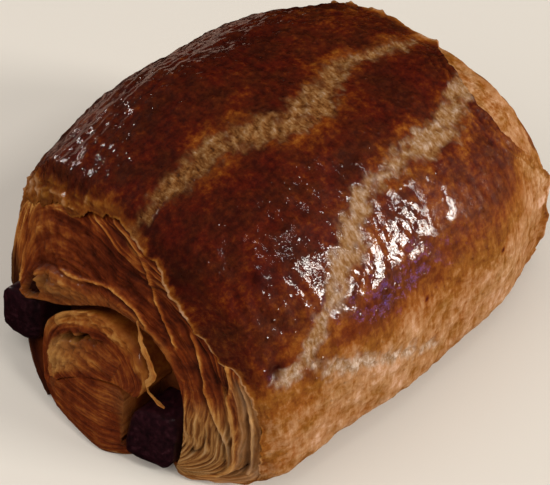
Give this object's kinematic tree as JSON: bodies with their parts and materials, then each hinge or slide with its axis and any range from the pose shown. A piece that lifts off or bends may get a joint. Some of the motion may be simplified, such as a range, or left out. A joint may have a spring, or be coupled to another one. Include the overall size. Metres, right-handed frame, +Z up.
{
  "type": "pain au chocolat",
  "caption": "Glazed pain au chocolat: a rolled, flaky laminated dough with dark chocolate sticks showing at its open ends, resting on its flat base.",
  "frame": {"origin": "middle of the flat base, on the surface that the roll rests on", "axes": "+X along the roll, away from the end where the chocolate stands out most; +Z up"},
  "size_m": [0.1078, 0.0806, 0.0531],
  "materials": {
    "egg_washed_crust": "glossy brown glaze over matt golden leaves of dough",
    "dark_chocolate": "satin, nearly black"
  },
  "bodies": {
    "root": {"pastry_roll": "egg_washed_crust", "chocolate_stick_left": "dark_chocolate", "chocolate_stick_right": "dark_chocolate"}
  },
  "joints": []
}
